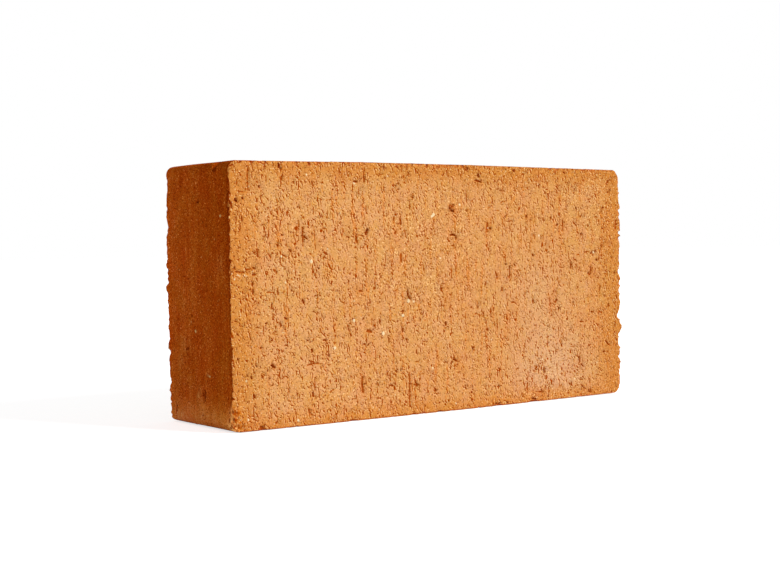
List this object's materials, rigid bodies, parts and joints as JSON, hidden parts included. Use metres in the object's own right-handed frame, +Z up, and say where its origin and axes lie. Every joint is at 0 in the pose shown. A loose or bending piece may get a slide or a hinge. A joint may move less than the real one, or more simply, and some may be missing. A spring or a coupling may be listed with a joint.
{
  "type": "clay brick",
  "caption": "Solid wire-cut fired clay brick with no frog and no holes, rough dragged bed faces, smoother die-formed sides and slightly rounded corners.",
  "frame": {"origin": "middle of the long narrow face that the brick stands on", "axes": "+X along the 200 mm length, +Y through the 50 mm thickness from the front bed face to the back one, +Z up the 100 mm width"},
  "size_m": [0.2, 0.05, 0.1],
  "materials": {
    "fired_clay": "unglazed, matt and sandy; wire-cut bed faces pale orange with short dragged tears, die-formed sides deeper red-orange and smoother"
  },
  "bodies": {
    "root": {"brick": "fired_clay"}
  },
  "joints": []
}
